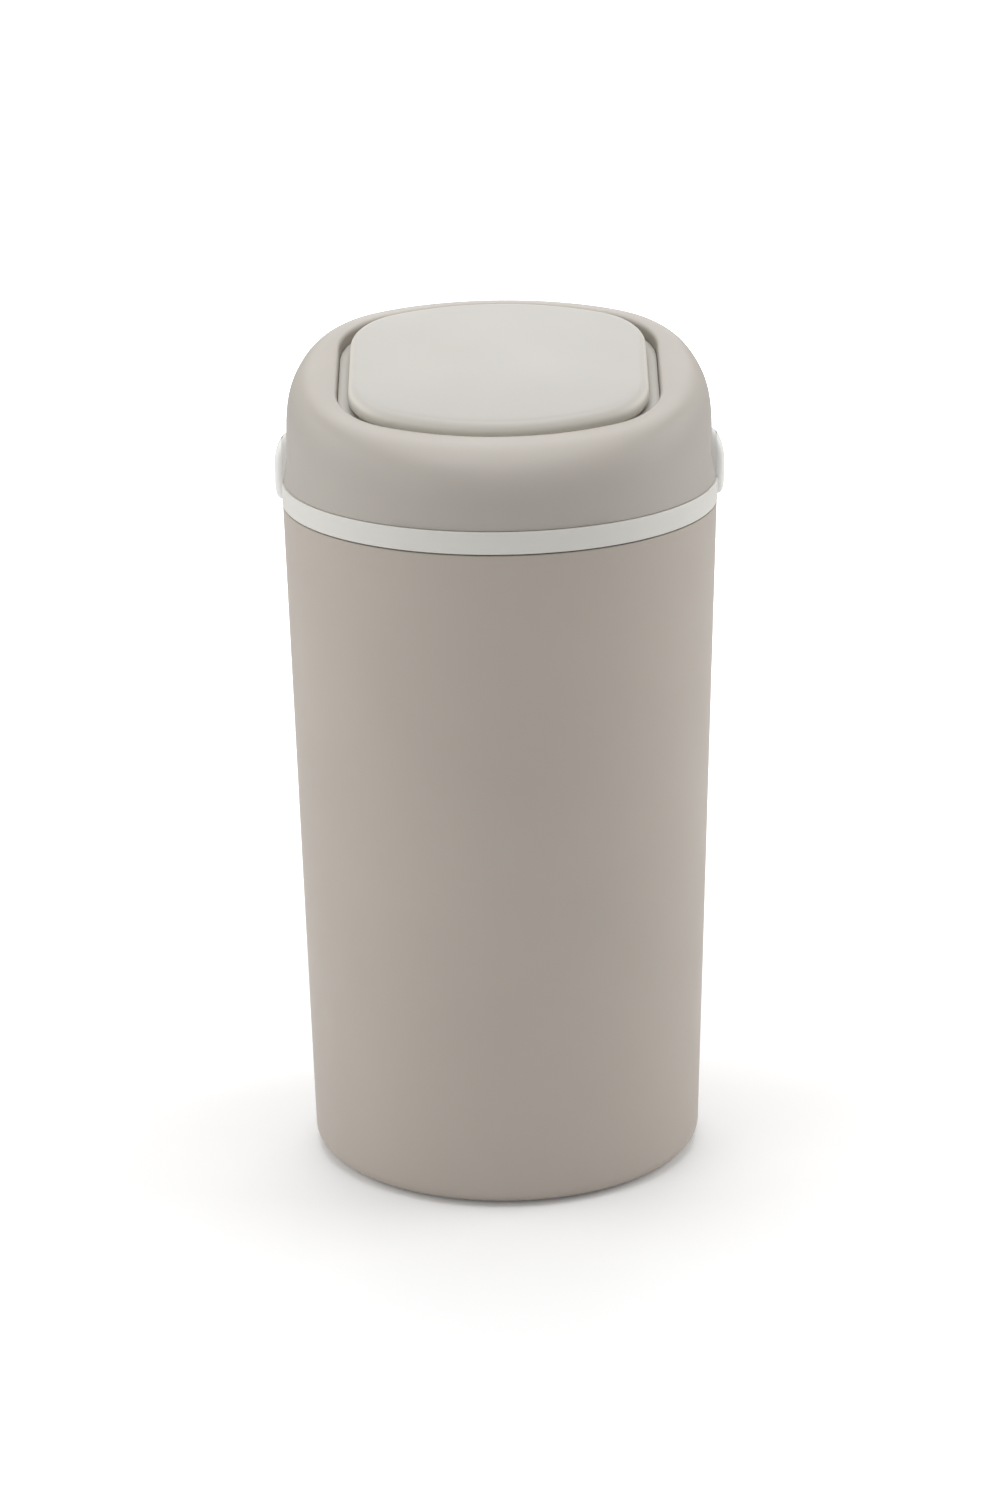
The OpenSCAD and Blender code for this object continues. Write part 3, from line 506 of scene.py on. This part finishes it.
def lid_skin():
    """The lid's top shell: a skirt, an overhanging edge, a side, a quarter-round and a top that
    swells a little towards its middle and bends down by LID_DROOP (y / MOUTH_D)^2 in front,
    then the same inside at one wall's distance. The skirt's lower edge rises at the hinge ears.
    """
    crown, rim_z = 0.5 * mm, LID_TOP - 0.5 * mm
    skirt = LID_INSET + LID_OVER
    ring = outline(skirt)
    droop = LID_DROOP * np.clip(-ring[:, 1] / MOUTH_D, 0, 1) ** 2
    notch = (np.abs(np.abs(ring[:, 0]) - EAR_X) < EAR_W / 2 + 1 * mm) & (ring[:, 1] > 60 * mm)
    bottom = np.where(notch, LID_EDGE - 0.6 * mm, LID_BOTTOM)
    edge = np.radians(np.linspace(0, 90, 14))
    inside = [mouth_row(skirt + LID_WALL, bottom),
              mouth_row(skirt + LID_WALL, rim_z - LID_ROUND - droop)]
    hollow = outline(skirt + LID_WALL + 3 * mm)

    def top_row(ring_xy, keep, z):
        flat = ring_xy * keep
        bend = LID_DROOP * np.clip(-flat[:, 1] / MOUTH_D, 0, 1) ** 2
        return tilted(np.column_stack([flat, z - bend]))

    inside += [top_row(hollow, keep, rim_z - LID_WALL) for keep in (1, 0.8, 0.6, 0.4, 0.2)]
    outer = [mouth_row(skirt, bottom), mouth_row(skirt, LID_EDGE),
             mouth_row(LID_INSET + 0.5 * mm, LID_EDGE),
             mouth_row(LID_INSET + 0.12 * mm, LID_EDGE + 0.12 * mm),
             mouth_row(LID_INSET, LID_EDGE + 0.5 * mm)]
    outer += [mouth_row(LID_INSET + LID_ROUND * (1 - math.cos(a)),
                        rim_z - LID_ROUND * (1 - math.sin(a)) - droop) for a in edge[:-1]]
    rim = outline(LID_INSET + LID_ROUND)
    outer += [top_row(rim, 1 - t, rim_z + crown * (1 - (1 - t) ** 2))
              for t in np.linspace(0, 1, 24)[:-1]]
    return grid(inside[::-1] + outer)


def paint_lid_edge_light(lid):
    """Gives each point of the lid its value "edge" for the painted light on its rounding: 0 on the
    top, going over to 1 down the rounding, by its depth below the top's level."""
    points = np.empty(len(lid.data.vertices) * 3)
    lid.data.vertices.foreach_get("co", points)
    y, z = points.reshape(-1, 3).T[1:]
    c, s = math.cos(MOUTH_TILT), math.sin(MOUTH_TILT)
    along, high = y * c + (z - SEAM - MOUTH_Z) * s, (z - SEAM - MOUTH_Z) * c - y * s
    top = LID_TOP - 0.5 * mm - LID_DROOP * np.clip(-along / MOUTH_D, 0, 1) ** 2
    share = np.clip((top - high) / (0.5 * LID_ROUND), 0, 1)
    lid.data.attributes.new("edge", "FLOAT", "POINT").data.foreach_set("value", share)


def gasket():
    """The lid's gasket: a foot and a round bulb on a circle, turned about the chute's middle."""
    foot, r, high = 1.6 * mm, GASKET_R, LID_BOTTOM - DECK - 0.3 * mm
    bulb = 1.35 * mm
    profile = np.vstack([line((r - foot, DECK + 0.02 * mm), (r + foot, DECK + 0.02 * mm)),
                         line((r + foot, DECK + 1 * mm), (r + 0.9 * mm, DECK + 1.6 * mm)),
                         arc(r, DECK + high - bulb, bulb, -40, 220, 22),
                         line((r - 0.9 * mm, DECK + 1.6 * mm), (r - foot, DECK + 1 * mm))])
    return turned(profile, True, (0, CHUTE_MIDDLE), tilted)


def plunger():
    """The latch's plunger, turned: shank, collar and a rounded tip."""
    low, collar = DECK_BOTTOM - 16.8 * mm, DECK_BOTTOM - 5.65 * mm
    r, wide, tip = 3 * mm, 4.5 * mm, LID_BOTTOM - 0.3 * mm
    profile = np.vstack([line((0.4 * mm, low), (r - 0.5 * mm, low)),
                         line((r, low + 0.5 * mm), (r, collar), 3),
                         line((wide, collar), (wide, collar + 1.6 * mm)),
                         line((r, collar + 1.6 * mm), (r, tip - 1.2 * mm), 3),
                         arc(r - 1.2 * mm, tip - 1.2 * mm, 1.2 * mm, 0, 85, 8)])
    return turned(profile, False, (0, LATCH_Y), tilted, 48)


# ---------------------------------------------------------------- springs and screws

WIRE = 0.55 * mm             # radius of the torsion springs' wire
COIL_R = 2.5 * mm            # radius of their coils


def lean(points, degrees):
    """Points turned about the X axis by so many degrees."""
    c, s = math.cos(math.radians(degrees)), math.sin(math.radians(degrees))
    return np.stack([points[:, 0], points[:, 1] * c - points[:, 2] * s,
                     points[:, 1] * s + points[:, 2] * c], -1)


def torsion_coil(turns, leg):
    """A torsion spring about the X axis: a straight leg down from the coil's front, then the
    coil (p t, -r cos 2 pi t, r sin 2 pi t) for t up to the number of turns."""
    pitch = 1.14 * mm
    t = np.linspace(0, turns, int(turns * 28) + 1)[1:]
    half = pitch * turns / 2
    straight = line((-half, -COIL_R, -leg), (-half, -COIL_R, 0), 8)
    coil = np.stack([pitch * t - half, -COIL_R * np.cos(2 * np.pi * t),
                     COIL_R * np.sin(2 * np.pi * t)], -1)
    return np.vstack([straight, coil])


def lid_coils():
    """The lid's two torsion springs, each leaning its leg on the deck."""
    surfaces = []
    for side in (-1, 1):
        path = lean(torsion_coil(6, 11.2 * mm), -35) * (side, 1, 1)
        rows = wire(path, WIRE, (side, 0, 0)) + (side * 11.2 * mm, HINGE_Y, HINGE_Z)
        surfaces.append(grid(tilted(rows)))
    return surfaces


def lid_arms():
    """The arms with which the two springs push the lid's underside: straight wires that leave
    the coils at the bottom and turn with the lid."""
    surfaces = []
    for side in (-1, 1):
        x = side * 14.6 * mm
        path = line((x, HINGE_Y + 0.3 * mm, HINGE_Z - COIL_R),
                    (x, HINGE_Y - 14 * mm, -12.9 * mm), 10)
        surfaces.append(grid(tilted(wire(path, WIRE, (1, 0, 0)))))
    return surfaces


def trap_coil():
    """The trap door's torsion spring, with its leg against the chute's wall."""
    path = lean(torsion_coil(8, 13 * mm) * (1, 1, -1), 12)
    return [grid(wire(path, WIRE, (1, 0, 0)) + (0, *TRAP_HINGE))]


def trap_arm():
    """The arm that the spring holds under the trap door."""
    y, z = TRAP_HINGE
    path = line((4.5 * mm, y, z - COIL_R), (4.5 * mm, y - 20 * mm, z - 2.1 * mm), 8)
    return [grid(wire(path, WIRE, (1, 0, 0)))]


def latch_coil():
    """The latch's compression spring: (r cos 2 pi t, r sin 2 pi t) rising with t, with its
    first and last turns lying flat."""
    low, high, r = DECK_BOTTOM - 14.7 * mm, DECK_BOTTOM - 6.4 * mm, 3.9 * mm
    t = np.linspace(0, 6, 6 * 28 + 1)
    rise = np.clip((t - 0.8) / 4.4, 0, 1)
    path = np.stack([r * np.cos(2 * np.pi * t), LATCH_Y + r * np.sin(2 * np.pi * t),
                     low + (high - low) * rise], -1)
    return [grid(tilted(wire(path, 0.5 * mm, (0, 0, 1))))]


def screws(places, seat, length):
    """Pan-head screws that point up in the mouth's frame, their seats at height seat.

    The head's underside is z(r) = -h (1 - 0.3 (r/R)^3), with a cross pressed in: its depth fades
    in where the nearer of |x| and |y| is small and r is short of the arms' ends.
    """
    head_r, head_h, shank, depth = 3 * mm, 1.6 * mm, 1.6 * mm, 0.85 * mm
    a = np.linspace(0, 2 * np.pi, 72, endpoint=False)
    r = (head_r - 0.02 * mm) * np.linspace(0.02, 1, 22)[:, None]
    x, y = r * np.cos(a), r * np.sin(a)
    narrow = np.clip((0.46 * mm - np.minimum(np.abs(x), np.abs(y))) / (0.16 * mm), 0, 1)
    reach = np.clip((1.75 * mm - r) / (0.3 * mm), 0, 1)
    under = -head_h * (1 - 0.3 * (r / head_r) ** 3) + depth * narrow * reach
    rest = np.vstack([line((head_r, -head_h * 0.62), (head_r, 0), 3),
                      line((shank, 0), (shank, length - 1 * mm)),
                      line((shank * 0.5, length), (shank * 0.2, length))])
    shaft = np.stack([rest[:, :1] * np.cos(a), rest[:, :1] * np.sin(a), rest[:, 1:] + 0 * a], -1)
    rows = np.concatenate([np.stack([x, y, under], -1), shaft])
    return [grid(tilted(rows + (px, py, seat))) for px, py in places]


def round_chute(degrees, radius):
    """Places at the given angles on a circle round the chute's middle, in the mouth's frame."""
    a = np.radians(degrees)
    return np.stack([radius * np.cos(a), CHUTE_MIDDLE + radius * np.sin(a)], -1)


make_piece("bucket_skin", [bucket()], "base", TAUPE, ["body_shell"])
make_piece("grip_pads", pads(), "base", RUBBER, ["foot_pads"])
make_piece("ring_band", [ring_band()], "ring", RING_PALE, ["bag_ring"])
# The lugs wear a lighter copy of the ring's plastic: painted light.
make_piece("ring_lugs", [lug(1), lug(-1)], "ring", LUG_PALE_PAINTED_LIGHT)
make_piece("head_skin", [head_skin()], "head", HEAD_TAUPE, ["head_shell"])
make_piece("lug_rests", [lug_rest(1), lug_rest(-1)], "head", LUG_PALE_PAINTED_LIGHT)
make_piece("ledge_skin", [ledge_skin()], "head", FRAME_PALE)
lid = make_piece("lid_skin", [lid_skin()], "lid", LID_PALE_PAINTED_EDGE_LIGHT, ["lid_top"])
# Painted light on the lid: the value "edge" lightens its rounding.
paint_lid_edge_light(lid)
make_piece("gasket_bulb", [gasket()], "head", RUBBER, ["lid_gasket"])
make_piece("plunger_tip", [plunger()], "plunger", FRAME_PALE, ["latch_plunger"])
make_piece("lid_coils", lid_coils(), "head", SPRING_STEEL, ["lid_springs"])
make_piece("lid_spring_arms", lid_arms(), "lid", SPRING_STEEL)
make_piece("trap_coil", trap_coil(), "head", SPRING_STEEL, ["trap_springs"])
make_piece("trap_spring_arm", trap_arm(), "trap", SPRING_STEEL)
coil = make_piece("latch_coil", latch_coil(), "head", SPRING_STEEL, ["latch_spring"])
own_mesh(coil)

# Where the screws sit, in the mouth's frame
FRAME_PLACES = [(x * (MOUTH_W + 6 * mm), y * MOUTH_D) for x in (-1, 1) for y in (-0.30, 0.40)]
CHUTE_PLACES = round_chute([200, 340, 60, 120], CHUTE_SCREW_R)
LID_PLACES = [(x, y) for x in (-62 * mm, 62 * mm) for y in (-38 * mm, 34 * mm)]
LATCH_PLACES = [(x, LATCH_Y) for x in (-14.5 * mm, 14.5 * mm)]
make_piece("frame_screw_set", screws(FRAME_PLACES, DECK_BOTTOM, 9 * mm), "head", ZINC,
           ["frame_screws"])
make_piece("chute_screw_set", screws(CHUTE_PLACES, DECK_BOTTOM - 2.4 * mm, 5 * mm), "head",
           ZINC, ["chute_screws"])
make_piece("lid_screw_set", screws(LID_PLACES, LID_BOTTOM + 1.6 * mm, 8 * mm), "lid",
           ZINC, ["lid_screws"])
make_piece("latch_screw_set", screws(LATCH_PLACES, DECK_BOTTOM - 2 * mm, 4.8 * mm), "head",
           ZINC, ["latch_screws"])


# ---------------------------------------------------------------- floor, light and camera

def make_floor():
    """A wide pale floor: white to the camera in the open, with the bin's soft shadow at its
    foot. Its glow to the camera grows from 0.07 at 0.35 m from the middle to 1 at 1.2 m."""
    half, glows = 6.0, (("From Min", 0.35), ("From Max", 1.2), ("To Min", 0.07), ("To Max", 1.0))
    corners = np.array([(-half, -half, 0), (half, -half, 0), (half, half, 0), (-half, half, 0)])
    material = bpy.data.materials.new("white_floor")
    material.use_nodes = True
    nodes, links = material.node_tree.nodes, material.node_tree.links
    shader = nodes["Principled BSDF"]
    shader.inputs["Base Color"].default_value = (0.9, 0.9, 0.9, 1)
    shader.inputs["Roughness"].default_value = 0.9
    path = nodes.new("ShaderNodeLightPath")
    place = nodes.new("ShaderNodeTexCoord")
    away = nodes.new("ShaderNodeVectorMath")
    away.operation = "LENGTH"
    ramp = nodes.new("ShaderNodeMapRange")
    for socket, value in glows:
        ramp.inputs[socket].default_value = value
    glow = nodes.new("ShaderNodeMath")
    glow.operation = "MULTIPLY"
    shader.inputs["Emission Color"].default_value = (1, 1, 1, 1)
    links.new(place.outputs["Object"], away.inputs[0])
    links.new(away.outputs["Value"], ramp.inputs["Value"])
    links.new(ramp.outputs["Result"], glow.inputs[1])
    links.new(path.outputs["Is Camera Ray"], glow.inputs[0])
    links.new(glow.outputs["Value"], shader.inputs["Emission Strength"])
    make_piece("floor", [(corners, [[0, 1, 2, 3]])], None, material)


def make_world():
    """Even white surroundings at a plain level, seen by the camera as white."""
    world = bpy.data.worlds.new("studio")
    bpy.context.scene.world = world
    world.use_nodes = True
    nodes, links = world.node_tree.nodes, world.node_tree.links
    background = nodes["Background"]
    background.inputs["Color"].default_value = (1, 1, 1, 1)
    path = nodes.new("ShaderNodeLightPath")
    level = nodes.new("ShaderNodeMapRange")
    level.inputs["To Min"].default_value = 0.385
    level.inputs["To Max"].default_value = 1.0
    links.new(path.outputs["Is Camera Ray"], level.inputs["Value"])
    links.new(level.outputs["Result"], background.inputs["Strength"])


def softbox(name, place, size, watts, aim=(0, 0, 0.3)):
    """A square area lamp that faces the bin."""
    lamp = bpy.data.lights.new(name, "AREA")
    lamp.shape = "SQUARE"
    lamp.size = size
    lamp.energy = watts
    holder = bpy.data.objects.new(name, lamp)
    bpy.context.scene.collection.objects.link(holder)
    way = Vector(aim) - Vector(place)
    turn = way.to_track_quat("-Z", "Y").to_matrix().to_4x4()
    holder.matrix_world = Matrix.Translation(place) @ turn


def make_camera():
    """The camera, from the view's elevation, roll, distance and focal length."""
    elevation, roll = math.radians(18.80), math.radians(-0.692)
    distance, aim_z = 21.0 * RING_R, SEAM - 1.5 * RING_R
    focal_px, frame_px, shift_px = 4461.6, 1500, (3.56, 55.36)
    back = Vector((0, -math.cos(elevation), math.sin(elevation)))
    right0 = Vector((1, 0, 0))
    up0 = back.cross(right0)
    right = right0 * math.cos(roll) + up0 * math.sin(roll)
    up = up0 * math.cos(roll) - right0 * math.sin(roll)
    camera = bpy.data.cameras.new("camera")
    camera.sensor_width = 36
    camera.lens = focal_px / frame_px * camera.sensor_width
    camera.shift_x = -shift_px[0] / frame_px
    camera.shift_y = shift_px[1] / frame_px
    camera.clip_end = 50
    holder = bpy.data.objects.new("camera", camera)
    bpy.context.scene.collection.objects.link(holder)
    turn = Matrix((right, up, back)).transposed().to_4x4()
    holder.matrix_world = Matrix.Translation(Vector((0, 0, aim_z)) + back * distance) @ turn
    bpy.context.scene.camera = holder


make_floor()
make_world()
softbox("left_box", (-2.2, 0.3, 1.2), 1.6, 16.4)
softbox("right_box", (2.2, 0.3, 1.2), 1.6, 22.6)
softbox("top_box", (0, 0, 2.6), 1.8, 29)
softbox("rear_box", (0, 2.0, 1.8), 1.8, 17.7)
softbox("left_front_box", (-1.8, -1.5, 1.2), 1.4, 9.2)
make_camera()

bpy.context.scene.view_settings.view_transform = "Standard"
